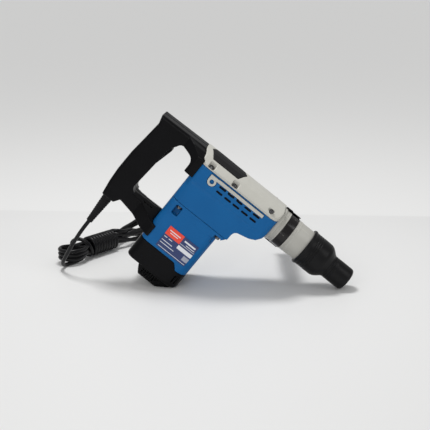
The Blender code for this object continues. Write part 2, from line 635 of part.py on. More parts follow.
# ---- mechanism and motor -------------------------------------------------------------------------------

def build_hammer():
    ring("cylinder", (BORE_R, 20.6), (58, 146), STEEL, steps=28)
    piston = turned("piston", [(0, 84), (17.0, 84), (17.0, 62), (12.5, 62), (12.5, 78), (0, 78)], ALUMINIUM,
                    steps=28)
    combine(piston, rod("wrist_bore", 4.3, (-20, 20), None, at(WRIST_X, 0, 0), 12))
    rod("wrist_pin", 4.0, (-15.5, 15.5), STEEL, at(WRIST_X, 0, 0), 12)
    small = arc((WRIST_X, 0), 7.2, -75, 75, 7)
    big = arc((CRANK_X - CRANK_THROW, 0), 9.2, 105, 255, 9)
    rod_body = prism("con_rod", small + big, (-3.6, 3.6), STEEL, "XY")
    combine(rod_body, rod("small_eye", 4.4, (-10, 10), None, at(WRIST_X, 0, 0), 12))
    combine(rod_body, rod("big_eye", 5.4, (-10, 10), None, at(CRANK_X - CRANK_THROW, 0, 0), 12))
    rod("striker", 17.0, (112, 136), STEEL, steps=28, chamfer=1.5)
    turned("impact_bolt", [(0, 194), (7.6, 194), (7.6, 184), (11.4, 182), (11.4, 152), (8.5, 149.5),
                           (0, 149.5)], STEEL, steps=20)


def build_crank():
    shaft = [(0, -8), (19.5, -8), (19.5, -13), (8.0, -13), (8.0, -60.5), (0, -60.5)]
    crank = turned("crank_shaft", shaft, STEEL, at(CRANK_X, 0, 0), 24)
    combine(crank, rod("crank_pin", 5.0, (-9, -4.2), None, at(CRANK_X - CRANK_THROW, 0, 0), 12), "UNION")
    pitch_r = CRANK_X - PINION_R
    ring("crank_gear", (8.0 + GAP, pitch_r - 0.4), (-57, -48), STEEL, at(CRANK_X, 0, 0), 32)
    ring("crank_bearing", (8.0 + GAP, 15.0), (-42, -32), STEEL, at(CRANK_X, 0, 0), 24)
    outline = rounded_box((-40, -40), (57, 40), (9, 9, 9, 9))
    wall = prism("crankcase_wall", outline, (-44, -29), ALUMINIUM, "XY")
    combine(wall, rod("crank_seat", 15.3, (-60, -20), None, at(CRANK_X, 0, 0), 24))
    for low, high in (((-60, -60, -40), (4, 60, -10)), ((-60, -60, -60), (80, -22, -40)),
                      ((-60, 22, -60), (80, 60, -40))):
        combine(wall, block(f"wall_relief_{low[0]}_{low[1]}", low, high, None))
    return wall


def build_motor():
    shaft = [(0, -46.5), (PINION_R - 0.2, -46.5), (PINION_R - 0.2, -58), (4.8, -60), (4.8, -186), (0, -186)]
    turned("armature_shaft", shaft, STEEL, ALONG_Z, 16)
    ring("armature_core", (5.1, 24.0), (-148, -104), DARK_STEEL, ALONG_Z, 24)
    ring("commutator", (5.1, 13.0), (-170, -153), COPPER, ALONG_Z, 24)
    turned("fan", [(9, -84), (38, -88), (38, -97), (35, -97), (9, -90), (9, -98), (5.1, -98), (5.1, -84)],
           BLACK, ALONG_Z, 24, closed=True)
    ring("bearing_top", (5.1, 13.0), (-77, -67), STEEL, ALONG_Z, 24)
    ring("bearing_bottom", (5.1, 10.0), (-184, -176), STEEL, ALONG_Z, 20)
    bore_r = MOTOR_HALF - MOTOR_WALL - GAP
    plate = ring("bearing_plate", (13.3, bore_r), (-74, -64), ALUMINIUM, ALONG_Z, 32)
    for index, (x, y) in enumerate(MOTOR_BOLTS):
        low, high = sorted((y * 0.8 - math.copysign(GAP, y), y * 1.5))
        combine(plate, block(f"plate_relief_{index}", (x - 8.8, low, -80), (x + 8.8, high, -60), None))
    combine(plate, rod("crank_foot", 9.0, (-70, -60), None, at(CRANK_X, 0, 0), 16))
    ring("stator", (24.8, bore_r), (-148, -104), DARK_STEEL, ALONG_Z, 32)
    bridge = ring("brush_bridge", (10.3, bore_r), (-182, -172.5), BLACK, ALONG_Z, 24)
    combine(bridge, block("bridge_near", (-60, -60, -181.5), (60, -14, -160), None))
    combine(bridge, block("bridge_far", (-60, 14, -181.5), (60, 60, -160), None))
    for sign, name in ((-1, "rear"), (1, "front")):
        low, high = sorted((sign * 13.4, sign * 32))
        block(f"brush_{name}", (low, -4, -166), (high, 4, -156), CARBON)


def screw(name, x, y, head, length, look, up=True):
    """A socket-head screw along Z whose head faces up, or down."""
    radius, height = head
    profile = [(0, height), (radius, height), (radius, 0), (2.3, 0), (2.3, -length), (0, -length)]
    matrix = at(x, y[0], y[1])
    if not up:
        matrix = matrix @ Matrix.Rotation(math.pi, 4, "X")
    body = turned(name, profile, look, matrix, 12)
    socket = rod(name + "_socket", radius * 0.5, (height - 2.0, height + 2), None, matrix, 6)
    return combine(body, socket)


def build_fasteners():
    for sign, side_name in ((-1, "near"), (1, "far")):
        for index, (x, z) in enumerate(COVER_SCREWS, start=1):
            screw(f"cover_screw_{side_name}_{index}", x, (sign * 40.6, z - 4.2), (4.0, 4.2), 13.0, DARK_STEEL)
    for index, (x, y) in enumerate(MOTOR_BOLTS, start=1):
        head_z = GEAR_BOTTOM_Z - GAP - 5.3
        screw(f"motor_bolt_{index}", x, (y, head_z), (4.6, 4.6), 12.0, DARK_STEEL, up=False)


def smooth_route(points, spacing):
    """Points at an even spacing along a Catmull-Rom curve through the given points."""
    knots = [Vector(p) for p in points]
    knots = [2 * knots[0] - knots[1]] + knots + [2 * knots[-1] - knots[-2]]
    fine = []
    for a, b, c, d in zip(knots, knots[1:], knots[2:], knots[3:]):
        for step in range(12):
            t = step / 12
            fine.append(0.5 * (2 * b + (c - a) * t + (2 * a - 5 * b + 4 * c - d) * t ** 2
                               + (3 * b - a - 3 * c + d) * t ** 3))
    fine.append(knots[-2])
    kept = [fine[0]]
    for point in fine[1:-1]:
        if (point - kept[-1]).length >= spacing and (point - fine[-1]).length >= spacing / 2:
            kept.append(point)
    return kept + [fine[-1]]


def on_floor(x, y, z):
    """A tool-frame point, in millimetres from the point under the tool's origin."""
    turned_point = Matrix.Rotation(TILT, 3, "Y") @ Vector((x, y, z))
    return turned_point + Vector((0, 0, resting_height()))


def build_cord():
    route = [on_floor(GUARD_X, 0, -196.0), on_floor(GUARD_X, 0, -205.0), *CORD_ROUTE]
    wire("cord_tube", smooth_route(route, 5 * CORD_R), CORD_R, PVC, ground, resolution=3)
    start, end = Vector(HANK_START), Vector(HANK_END)
    run = end - start
    heading = math.degrees(math.atan2(run.y, run.x))
    outline = arc(start, HANK_R, heading + 90, heading + 270, 9)
    outline += arc(end, HANK_R, heading - 90, heading + 90, 9)
    hank = prism("cord_hank", outline, (0.4, HANK_HEIGHT), PVC, "XY")
    hank.parent = ground
    along = Matrix.Rotation(math.radians(heading), 4, "Z") @ ALONG_X
    foot = end + run.normalized() * (HANK_R + GAP)
    plug_at = at(foot.x, foot.y, PLUG_R + 0.2, along)
    plug = turned("mains_plug", [(0, PLUG_LENGTH), (PLUG_R, PLUG_LENGTH), (PLUG_R, 20), (8, 4), (8, 0), (0, 0)],
                  BLACK, plug_at, 20, parent=ground)
    across = Vector((-run.y, run.x)).normalized() * PIN_SPACING / 2
    for sign in (-1, 1):
        pin_at = at(foot.x + sign * across.x, foot.y + sign * across.y, PLUG_R + 0.2, along)
        pin = rod(f"plug_pin_{sign}", 2.4, (PLUG_LENGTH - 3, PLUG_LENGTH + 19), None, pin_at, 10, parent=ground)
        combine(plug, pin, "UNION")


def put_origin_under_centre():
    """Move everything so that the origin lies under the middle of the tool, on the floor."""
    bpy.context.view_layer.update()
    graph = bpy.context.evaluated_depsgraph_get()
    corners = []
    for item in PARTS.objects:
        if item.parent == tool:
            shown = item.evaluated_get(graph)
            corners += [shown.matrix_world @ vertex.co for vertex in shown.to_mesh().vertices]
            shown.to_mesh_clear()
    low = [min(corner[i] for corner in corners) for i in range(3)]
    high = [max(corner[i] for corner in corners) for i in range(3)]
    ground.location = (-(low[0] + high[0]) / 2, -(low[1] + high[1]) / 2, 0)
    tool.location.z -= low[2]


def build_tool():
    build_top_housing()
    pad_body("top_pad", 0, RUBBER)
    build_gear_housing()
    build_trim("near", -1)
    build_trim("far", 1)
    build_motor_housing()
    build_end_cap()
    build_name_plate()
    build_handle()
    build_trigger()
    build_handle_parts()
    build_barrel()
    build_side_handle()
    build_chuck()
    build_hammer()
    build_crank()
    build_motor()
    build_fasteners()
    tool.location = (0, 0, resting_height() * MM)
    build_cord()
    put_origin_under_centre()


build_tool()
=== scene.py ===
"""An electric jackhammer with a D-handle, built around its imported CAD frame."""
import json
import math

import bmesh
import bpy
from mathutils import Matrix, Vector


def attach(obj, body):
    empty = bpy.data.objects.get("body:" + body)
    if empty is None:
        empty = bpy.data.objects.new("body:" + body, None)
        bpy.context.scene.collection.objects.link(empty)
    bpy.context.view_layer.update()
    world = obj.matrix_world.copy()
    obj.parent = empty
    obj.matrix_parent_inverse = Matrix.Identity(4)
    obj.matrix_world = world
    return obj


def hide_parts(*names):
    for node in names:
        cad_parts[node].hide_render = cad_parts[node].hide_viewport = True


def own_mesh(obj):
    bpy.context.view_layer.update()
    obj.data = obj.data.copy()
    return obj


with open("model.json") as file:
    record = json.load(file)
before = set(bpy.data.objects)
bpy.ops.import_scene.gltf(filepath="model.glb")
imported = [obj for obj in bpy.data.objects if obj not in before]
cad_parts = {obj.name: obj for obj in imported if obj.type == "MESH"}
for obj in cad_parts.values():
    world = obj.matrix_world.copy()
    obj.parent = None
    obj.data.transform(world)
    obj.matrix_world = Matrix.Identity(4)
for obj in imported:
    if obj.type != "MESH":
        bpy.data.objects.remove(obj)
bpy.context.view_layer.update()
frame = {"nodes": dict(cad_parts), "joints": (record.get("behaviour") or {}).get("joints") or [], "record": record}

# The machine stands tilted on its end cap and its nose. Its own axes, in millimetres, are the barrel
# along +X, the motor's shaft along Z and the side handle towards +Y, and they come from its joints.
joints = {joint["name"]: joint for joint in frame["joints"]}
barrel_line = Vector(joints["side_handle_swivel"]["axis"])
shaft_line = Vector(joints["armature_spin"]["axis"])
middle = Vector(joints["armature_spin"]["pos_m"]) + 0.1 * shaft_line
machine = (Matrix.Translation(middle) @ Matrix((barrel_line, Vector((0, 1, 0)), shaft_line)).transposed().to_4x4()
           @ Matrix.Scale(0.001, 4))
floor_under = Matrix.Translation((middle.x, middle.y, 0)) @ Matrix.Scale(0.001, 4)

# Studio: a pale table on a slightly darker floor that runs back to the horizon, one soft light high on the
# left, a weaker one on the right and a soft one by the camera. The camera stands off with a long lens.
scene = bpy.context.scene
scene.view_settings.view_transform = "Standard"
scene.view_settings.look = "None"
camera = bpy.data.objects.new("camera", bpy.data.cameras.new("camera"))
scene.collection.objects.link(camera)
camera.data.lens, camera.data.sensor_width = 85.0, 36.0
VIEW_HEIGHT, VIEW_TURN, VIEW_ROLL = math.radians(15.0), math.radians(8.5), math.radians(-0.3)
VIEW_DISTANCE = 1.674
gaze = (Matrix.Rotation(VIEW_TURN, 3, "Z") @ Matrix.Rotation(math.radians(90.0) - VIEW_HEIGHT, 3, "X")
        @ Matrix.Rotation(VIEW_ROLL, 3, "Z"))
camera.rotation_mode = "QUATERNION"
camera.rotation_quaternion = gaze.to_quaternion()
camera.location = middle + gaze @ Vector((-0.0141, -0.0560, VIEW_DISTANCE))
scene.camera = camera


def stage_board(name, corners, colour, roughness, glow=0.0):
    board = bpy.data.meshes.new(name)
    board.from_pydata(corners, [], [(0, 1, 2, 3)])
    paint = bpy.data.materials.new(name)
    paint.use_nodes = True
    shader = paint.node_tree.nodes["Principled BSDF"]
    shader.inputs["Base Color"].default_value = (*colour, 1.0)
    shader.inputs["Roughness"].default_value = roughness
    shader.inputs["Emission Color"].default_value = (1.0, 1.0, 0.99, 1.0)
    shader.inputs["Emission Strength"].default_value = glow
    board.materials.append(paint)
    placed = bpy.data.objects.new(name, board)
    scene.collection.objects.link(placed)


def table_edge(x):
    return 0.388 + 0.0717 * x


stage_board("table_top", [(-9.0, -12.0, -0.0003), (9.0, -12.0, -0.0003), (9.0, table_edge(9.0), -0.0003),
                          (-9.0, table_edge(-9.0), -0.0003)], (0.80, 0.80, 0.795), 0.55)
stage_board("far_floor", [(-9.0, table_edge(-9.0), -0.0003), (9.0, table_edge(9.0), -0.0003), (9.0, 16.0, -0.0003),
                          (-9.0, 16.0, -0.0003)], (0.38, 0.38, 0.378), 0.7, 0.42)


def soft_light(name, place, aim, size, watts, colour=(1.0, 1.0, 1.0)):
    lamp = bpy.data.lights.new(name, "AREA")
    lamp.shape, lamp.size, lamp.size_y, lamp.energy, lamp.color = "RECTANGLE", *size, watts, colour
    placed = bpy.data.objects.new(name, lamp)
    placed.location = place
    placed.rotation_euler = (Vector(aim) - Vector(place)).to_track_quat("-Z", "Y").to_euler()
    scene.collection.objects.link(placed)


soft_light("key_light", (-0.20, 0.20, 1.55), (0.0, 0.0, 0.1), (0.4, 0.4), 14.0)
soft_light("side_light", (1.5, -0.8, 0.9), (0.0, 0.0, 0.1), (0.8, 0.8), 4.0)
soft_light("front_light", (-0.3, -1.9, 0.9), (0.0, 0.0, 0.15), (1.2, 0.9), 9.0)
world = bpy.data.worlds.new("studio_air")
world.use_nodes = True
world.node_tree.nodes["Background"].inputs["Color"].default_value = (1.0, 1.0, 1.0, 1.0)
world.node_tree.nodes["Background"].inputs["Strength"].default_value = 0.42
scene.world = world

# Gear housing: the blue casting that holds the crank and the cylinder, closed below by the motor housing.
# It is moulded in glass-filled nylon with a fine spark-eroded grain; its edges have a small radius.
class Wire:
    """A shader socket that takes Python arithmetic, and makes the nodes that the sum needs."""

    def __init__(self, tree, socket=None):
        self.tree, self.socket = tree, socket

    def node(self, kind, sockets=(), output=0, stops=(), **settings):
        """A node with its settings made first, then its sockets, as values or as links."""
        made = self.tree.nodes.new(kind)
        for key, value in settings.items():
            setattr(made, key, value)
        for element, (place, colour) in zip(made.color_ramp.elements if stops else (), stops):
            element.position, element.color = place, colour
        for key, value in dict(sockets).items():
            if isinstance(value, Wire):
                self.tree.links.new(value.socket, made.inputs[key])
            else:
                made.inputs[key].default_value = value
        return Wire(self.tree, made.outputs[output])

    def maths(self, operation, *values):
        return self.node("ShaderNodeMath", dict(enumerate(values)), operation=operation)

    def __add__(self, other):
        return self.maths("ADD", self, other)

    def __sub__(self, other):
        return self.maths("SUBTRACT", self, other)

    def __rsub__(self, other):
        return self.maths("SUBTRACT", other, self)

    def __mul__(self, other):
        return self.maths("MULTIPLY", self, other)

    def __truediv__(self, other):
        return self.maths("DIVIDE", self, other)

    def __abs__(self):
        return self.maths("ABSOLUTE", self)

    __radd__, __rmul__ = __add__, __mul__

    def step(self, low, high):
        """From 0 at low to 1 at high, held outside them; high may be the smaller one."""
        return self.node("ShaderNodeMapRange", {"Value": self, "From Min": low, "From Max": high})

    def within(self, low, high, edge=0.15):
        return self.step(low - edge, low + edge) * self.step(high + edge, high - edge)

    def blend(self, under, over):
        """A colour mixed by this mask."""
        return self.node("ShaderNodeMix", {0: self, 6: under, 7: over}, 2, data_type="RGBA")


class Finish:
    """A material with its coordinates in the machine's own frame, in millimetres."""

    def __init__(self, name, colour, roughness, metallic=0.0, coat=0.0, specular=0.5):
        self.material = bpy.data.materials.new(name)
        self.material.use_nodes = True
        self.shader = self.material.node_tree.nodes["Principled BSDF"]
        for key, value in (("Base Color", (*colour, 1.0)), ("Roughness", roughness), ("Metallic", metallic),
                           ("Coat Weight", coat), ("Coat Roughness", 0.25), ("Specular IOR Level", specular)):
            self.shader.inputs[key].default_value = value
        tree = self.material.node_tree
        self.object = Wire(tree).node("ShaderNodeTexCoord", output=3)
        self.place = self.object.node("ShaderNodeMapping", {
            "Vector": self.object, "Location": machine.translation, "Rotation": machine.to_euler(),
            "Scale": (0.001, 0.001, 0.001)}, vector_type="TEXTURE")
        self.x, self.y, self.z = (self.place.node("ShaderNodeSeparateXYZ", {0: self.place}, i) for i in range(3))

    def noise(self, size, detail=2.0, stretch=(1.0, 1.0, 1.0)):
        """Noise whose spots are about size millimetres across."""
        spread = self.place.node("ShaderNodeMapping", {"Vector": self.place, "Scale": stretch})
        return spread.node("ShaderNodeTexNoise", {"Vector": spread, "Scale": 1.0 / size, "Detail": detail})

    def edges(self, low=0.515, high=0.60):
        """1 on edges that stand out and take the knocks."""
        return self.place.node("ShaderNodeNewGeometry", output=7).step(low, high)

    def set(self, socket, wire):
        self.material.node_tree.links.new(wire.socket, self.shader.inputs[socket])

    def raise_by(self, wire, depth):
        """Surface relief of a depth in millimetres."""
        bump = wire.node("ShaderNodeBump", {"Strength": 1.0, "Distance": depth / 1000, "Height": wire})
        self.set("Normal", bump)


def grained(finish, colour, dull, worn, roughness, grain=0.45, depth=0.05, wear=0.5, dust_and_shade_colour=(0.4, 0.37, 0.33)):
    """Moulded surface: spark-eroded grain, uneven tone, handling marks on its edges, and a tint in its corners: dust
    where the tint is lighter than the surface, painted shade where it is darker.
    """
    cloud = finish.noise(38.0, 4.0).step(0.35, 0.68)
    speck = finish.noise(grain, 2.0)
    rub = finish.noise(9.0, 5.0).step(0.42, 0.62)
    edge = finish.edges() * rub * wear
    # Tint in the hollows: lighter dust on the dark parts; on the grey paint it is darker, and there it is painted
    # shade in the corners.
    dust_and_shade = finish.edges(0.487, 0.43) * finish.noise(5.0, 3.0).step(0.4, 0.7) * 0.18
    tone = (cloud * 0.55).blend((*colour, 1.0), (*dull, 1.0))
    tone = edge.blend(tone, (*worn, 1.0))
    finish.tone = dust_and_shade.blend(tone, (*dust_and_shade_colour, 1.0))
    finish.gloss = speck * 0.10 + cloud * 0.07 + edge * 0.12 + (roughness - 0.09)
    finish.set("Base Color", finish.tone)
    finish.set("Roughness", finish.gloss)
    finish.raise_by(speck + rub * 0.35, depth)
    return finish


def softened(name, body, voxel, rounds=2, cuts=()):
    """A moulded piece from its solid: cut where asked, then eased by a fine remesh and a little smoothing."""
    source = frame["nodes"][name]
    shape = bmesh.new()
    shape.from_mesh(source.data)
    bmesh.ops.remove_doubles(shape, verts=shape.verts, dist=1e-6)
    mesh = bpy.data.meshes.new(name + "_form")
    shape.to_mesh(mesh)
    shape.free()
    raw = bpy.data.objects.new(name + "_form", mesh)
    scene.collection.objects.link(raw)
    for cut in cuts:
        carve = raw.modifiers.new("cut", "BOOLEAN")
        carve.operation, carve.solver, carve.object = "DIFFERENCE", "EXACT", cut
    remesh = raw.modifiers.new("skin", "REMESH")
    remesh.mode, remesh.voxel_size = "VOXEL", voxel / 1000
    ease = raw.modifiers.new("ease", "SMOOTH")
    ease.factor, ease.iterations = 0.5, rounds
    bpy.context.view_layer.update()
    final = bpy.data.meshes.new_from_object(raw.evaluated_get(bpy.context.evaluated_depsgraph_get()))
    bpy.data.objects.remove(raw, do_unlink=True)
    piece = bpy.data.objects.new(name + "_shell", final)
    scene.collection.objects.link(piece)
    final.shade_smooth()
    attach(piece, body)
    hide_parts(name)
    return piece


def dress(piece, finish):
    """Give a finished piece its material and its slot in the list of materials."""
    piece.data.materials.clear()
    piece.data.materials.append(finish.material)
    return piece


BLUE, DEEP_BLUE, CHALKY_BLUE = (0.005, 0.120, 0.345), (0.004, 0.100, 0.300), (0.055, 0.215, 0.440)
blue = grained(Finish("blue_housing_nylon", BLUE, 0.36, specular=0.16), BLUE, DEEP_BLUE, CHALKY_BLUE, 0.40)
# The vent slots are painted near black where they sink below the side faces: painted shade in the slots.
vent_shade = abs(blue.y).step(45.9, 45.5) * blue.x.within(-2.2, 83.0) * blue.z.within(-10.4, 4.0)
blue.set("Base Color", vent_shade.blend(blue.tone, (0.003, 0.003, 0.004, 1.0)))
blue.set("Roughness", vent_shade * 0.4 + blue.gloss)
dress(softened("gear_housing", "machine", 1.3), blue)

# Motor housing: the blue box below the gear housing, bolted up through its flange by four screws. It is
# moulded in the same nylon, with the rating plate glued to its near face.
dress(softened("motor_housing", "machine", 1.2), blue)

# Top housing: a warm grey painted casting over the hammer mechanism, held down by six sunken screws. Its
# paint has a faint orange peel, and it has gone duller where hands and gloves rub it.
GREY, DULL_GREY, BARE = (0.555, 0.548, 0.500), (0.490, 0.481, 0.434), (0.650, 0.640, 0.595)
# Its hollows are tinted darker than the paint: painted shade in the corners.
grey = grained(Finish("warm_grey_paint", GREY, 0.40, coat=0.1, specular=0.3), GREY, DULL_GREY, BARE, 0.42, grain=0.8,
               depth=0.03, wear=0.35, dust_and_shade_colour=(0.22, 0.20, 0.17))
scuffs = grey.noise(14.0, 6.0, (0.25, 1.0, 1.6)).step(0.60, 0.70) * 0.25
grey.set("Base Color", scuffs.blend(grey.tone, (0.40, 0.385, 0.345, 1.0)))
dress(softened("top_housing", "machine", 1.1), grey)
for side in ("near", "far"):
    dress(softened(f"vent_trim_{side}", "machine", 0.45), grey)

# Rubber pad on the crest of the top housing: the machine is laid down on it. It is moulded in nitrile
# rubber with three shallow ribs across and is bonded into its recess.
RUBBER = (0.005, 0.005, 0.0055)
rubber = grained(Finish("nitrile_rubber", RUBBER, 0.50, specular=0.20), RUBBER, (0.010, 0.010, 0.011),
                 (0.05, 0.05, 0.05), 0.62, grain=0.35, depth=0.06, wear=0.4, dust_and_shade_colour=(0.07, 0.066, 0.06))
dress(softened("top_pad", "machine", 0.7), rubber)

# D-handle: two glass-filled halves screwed together on the middle plane, hooked over the rear of the
# housings above and below. The grip between them has a fine leather grain.
BLACK = (0.0022, 0.0022, 0.0028)
black = grained(Finish("black_handle_nylon", BLACK, 0.32, specular=0.11), BLACK, (0.004, 0.004, 0.005),
                (0.030, 0.030, 0.031), 0.32, grain=0.7, depth=0.05, wear=0.35, dust_and_shade_colour=(0.05, 0.047, 0.044))


def cutter(name, outline, span, along="y"):
    """A prism that is only used to cut: its outline is (x, z) along y, or (y, z) along x."""
    places = {"y": lambda u, v, w: (u, w, v), "x": lambda u, v, w: (w, u, v)}[along]
    shape = bmesh.new()
    rings = [[shape.verts.new(machine @ Vector(places(u, v, w))) for u, v in outline] for w in span]
    shape.faces.new(rings[0])
    shape.faces.new(rings[1])
    for i in range(len(outline)):
        j = (i + 1) % len(outline)
        shape.faces.new((rings[0][i], rings[0][j], rings[1][j], rings[1][i]))
    bmesh.ops.recalc_face_normals(shape, faces=shape.faces)
    mesh = bpy.data.meshes.new(name)
    shape.to_mesh(mesh)
    shape.free()
    made = bpy.data.objects.new(name, mesh)
    scene.collection.objects.link(made)
    return made


arm_cuts = [cutter(f"arm_roof_{i}", [(0, top), (50, top - 15.3), (50, -88), (-50, -88), (-50, top - 15.3)],
                   (rear, -30), "x") for i, (rear, top) in enumerate(((-103, -103.6), (-97, -104.4), (-84, -105.0)))]
for side in (-1, 1):
    for i, (low, high) in enumerate(((-127.4, -126.2), (-121.8, -120.6))):
        arm_cuts.append(cutter(f"arm_line_{i}_{side}", [(-112, low), (-112, high), (-58, high), (-58, low)],
                               (side * 20.0, side * 21.6)))
for half in ("handle_near", "handle_far"):
    dress(softened(half, "machine", 1.1, 4, arm_cuts), black)
for cut in arm_cuts:
    bpy.data.objects.remove(cut, do_unlink=True)
dress(softened("trigger", "trigger_body", 0.6, 2), black)

# End cap: the black nylon cup under the motor, with a vented foot that the machine stands on. Air is drawn
# in through its ribs and through two slots by the front corner.
dress(softened("end_cap", "machine", 0.9, 1), black)

# Cover screws and motor bolts: blackened hexagon-socket screws. Six sit upright in pockets
# of the top housing, four point up through the motor flange.
def socket_tree(name, finish):
    """Socket-head screws at the points of a mesh, all pointing up; the sizes are inputs in millimetres."""
    tree = bpy.data.node_groups.new(name, "GeometryNodeTree")
    tree.interface.new_socket("Geometry", in_out="INPUT", socket_type="NodeSocketGeometry")
    for label, value in (("Head radius", 4.0), ("Head height", 4.2), ("Shank radius", 2.2), ("Shank length", 12.0)):
        tree.interface.new_socket(label, in_out="INPUT", socket_type="NodeSocketFloat").default_value = value
    tree.interface.new_socket("Geometry", in_out="OUTPUT", socket_type="NodeSocketGeometry")
    start = Wire(tree)
    inlet = start.node("NodeGroupInput")
    given = [Wire(tree, socket) for socket in inlet.socket.node.outputs]
    points, head_r, head_h, shank_r, shank_l = given[:5]

    def solid(radius, depth, middle, sides):
        drum = start.node("GeometryNodeMeshCylinder", {"Vertices": sides, "Radius": radius, "Depth": depth})
        lift = start.node("ShaderNodeCombineXYZ", {"Z": middle})
        return start.node("GeometryNodeTransform", {"Geometry": drum, "Translation": lift})

    head = solid(head_r, head_h * 0.82, head_h * 0.41, 32)
    crown = solid(head_r * 0.90, head_h, head_h * 0.5, 32)
    shank = solid(shank_r, shank_l, shank_l * -0.5 + 0.2, 20)
    socket = solid(head_r * 0.56, head_h, head_h * 1.0, 6)
    drill = solid(head_r * 0.22, head_h, head_h * 0.8, 12)
    bodies = start.node("GeometryNodeMeshBoolean", {1: head}, operation="UNION")
    union = bodies.socket.node
    for other in (crown, shank):
        tree.links.new(other.socket, union.inputs[1])
    bored = start.node("GeometryNodeMeshBoolean", {0: bodies, 1: socket}, operation="DIFFERENCE")
    tree.links.new(drill.socket, bored.socket.node.inputs[1])
    placed = start.node("GeometryNodeInstanceOnPoints", {"Points": points, "Instance": bored})
    real = start.node("GeometryNodeRealizeInstances", {"Geometry": placed})
    painted = start.node("GeometryNodeSetMaterial", {"Geometry": real, "Material": finish.material})
    outlet = tree.nodes.new("NodeGroupOutput")
    tree.links.new(painted.socket, outlet.inputs[0])
    return tree


def grown(name, points, tree, sizes, place):
    """Run a tree on a set of points and keep the result as one plain mesh, in its place on the machine."""
    seeds = bpy.data.meshes.new(name + "_seeds")
    seeds.from_pydata(points, [], [])
    guide = bpy.data.objects.new(name + "_guide", seeds)
    scene.collection.objects.link(guide)
    growth = guide.modifiers.new("growth", "NODES")
    growth.node_group = tree
    for item in tree.interface.items_tree:
        if item.in_out == "INPUT" and item.name in sizes:
            growth[item.identifier] = sizes[item.name]
    bpy.context.view_layer.update()
    final = bpy.data.meshes.new_from_object(guide.evaluated_get(bpy.context.evaluated_depsgraph_get()))
    bpy.data.objects.remove(guide, do_unlink=True)
    final.transform(place)
    piece = bpy.data.objects.new(name, final)
    scene.collection.objects.link(piece)
    final.set_sharp_from_angle(angle=math.radians(35))
    return piece


OXIDE = (0.030, 0.031, 0.034)
oxide = Finish("black_oxide_steel", OXIDE, 0.36, metallic=1.0)
rubbed = oxide.edges(0.53, 0.62) * oxide.noise(2.0, 3.0).step(0.4, 0.6)
oxide.set("Base Color", rubbed.blend((*OXIDE, 1.0), (0.28, 0.28, 0.29, 1.0)))
oxide.set("Roughness", oxide.noise(1.5, 3.0) * 0.25 + 0.25)
screws = socket_tree("socket_screws", oxide)
cover_places = [(x, side * 40.6, z - 4.2) for side in (-1, 1) for x, z in ((-30.2, 19.0), (17.3, 19.0), (89.3, 24.5))]
cover_screws = grown("cover_screws", cover_places, screws,
                     {"Head radius": 4.0, "Head height": 4.2, "Shank radius": 2.2, "Shank length": 12.8}, machine)
bolt_places = [(-x, y, 67.6) for x in (-30.0, 49.0) for y in (-40.5, 40.5)]
upside_down = machine @ Matrix.Rotation(math.pi, 4, "Y")
motor_bolts = grown("motor_bolts", bolt_places, screws,
                    {"Head radius": 4.6, "Head height": 4.6, "Shank radius": 2.2, "Shank length": 11.8}, upside_down)
for piece, stem, ends in ((cover_screws, "cover_screw", ("near_1", "near_2", "near_3", "far_1", "far_2", "far_3")),
                          (motor_bolts, "motor_bolt", ("1", "2", "3", "4"))):
    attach(piece, "machine")
    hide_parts(*(f"{stem}_{end}" for end in ends))

# Front barrel: the grey painted tube that screws into the housings and guides the tool holder. Fine rings
# are turned into it on both sides of the seat for the clamp band.
def soft_corners(points, radius):
    """A profile whose corners are eased by a small radius."""
    eased = []
    count = len(points)
    for i in range(count):
        before, here, after = (Vector(points[(i + k) % count]) for k in (-1, 0, 1))
        into, out = here - before, after - here
        if here.y < 0.01 or into.length < 0.02 or out.length < 0.02 or into.angle(out) < 0.12:
            eased.append(tuple(here))
            continue
        reach = min(radius, 0.4 * into.length, 0.4 * out.length)
        first, last = here - into.normalized() * reach, here + out.normalized() * reach
        for t in (0.0, 0.33, 0.67, 1.0):
            eased.append(tuple(first * (1 - t) ** 2 + here * 2 * t * (1 - t) + last * t ** 2))
    return eased


def spun(name, section, body, place, node, steps=96, radius=0.4):
    """A turned piece from the closed outline of its half section, as (distance along, radius) points."""
    shape = bmesh.new()
    profile = soft_corners(section, radius)
    rows = [[shape.verts.new(place @ Vector((x, r * math.cos(a), r * math.sin(a)))) for x, r in profile]
            for a in (math.tau * step / steps for step in range(steps))]
    for row, after in zip(rows, rows[1:] + rows[:1]):
        for i in range(len(profile)):
            j = (i + 1) % len(profile)
            shape.faces.new((row[i], after[i], after[j], row[j]))
    bmesh.ops.remove_doubles(shape, verts=shape.verts, dist=1e-6)
    bmesh.ops.recalc_face_normals(shape, faces=shape.faces)
    mesh = bpy.data.meshes.new(name)
    shape.to_mesh(mesh)
    shape.free()
    mesh.shade_smooth()
    mesh.set_sharp_from_angle(angle=math.radians(50))
    piece = bpy.data.objects.new(name, mesh)
    scene.collection.objects.link(piece)
    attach(piece, body)
    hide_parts(node)
    return piece


def grooves(places, radius, width, depth):
    """Points along a cylinder that carry a shallow groove at each place."""
    points = []
    for x in places:
        points += [(x - width / 2 - 0.15, radius), (x - width / 2 + 0.15, radius - depth),
                   (x + width / 2 - 0.15, radius - depth), (x + width / 2 + 0.15, radius)]
    return points


barrel_section = [(94.8, 26.2), (108.9, 26.2), (108.9, 30.4), (112.6, 30.4), (113.4, 29.2),
                  *grooves((115.2, 117.2, 119.4), 29.2, 0.9, 0.6), (122.4, 29.2), (122.4, 27.6), (138.9, 27.6),
                  (138.9, 28.9), *grooves((141.4, 143.6), 28.9, 0.9, 0.5), (146.4, 28.9), (147.2, 28.5),
                  (177.0, 28.5), (177.0, 22.2), (94.8, 22.2)]
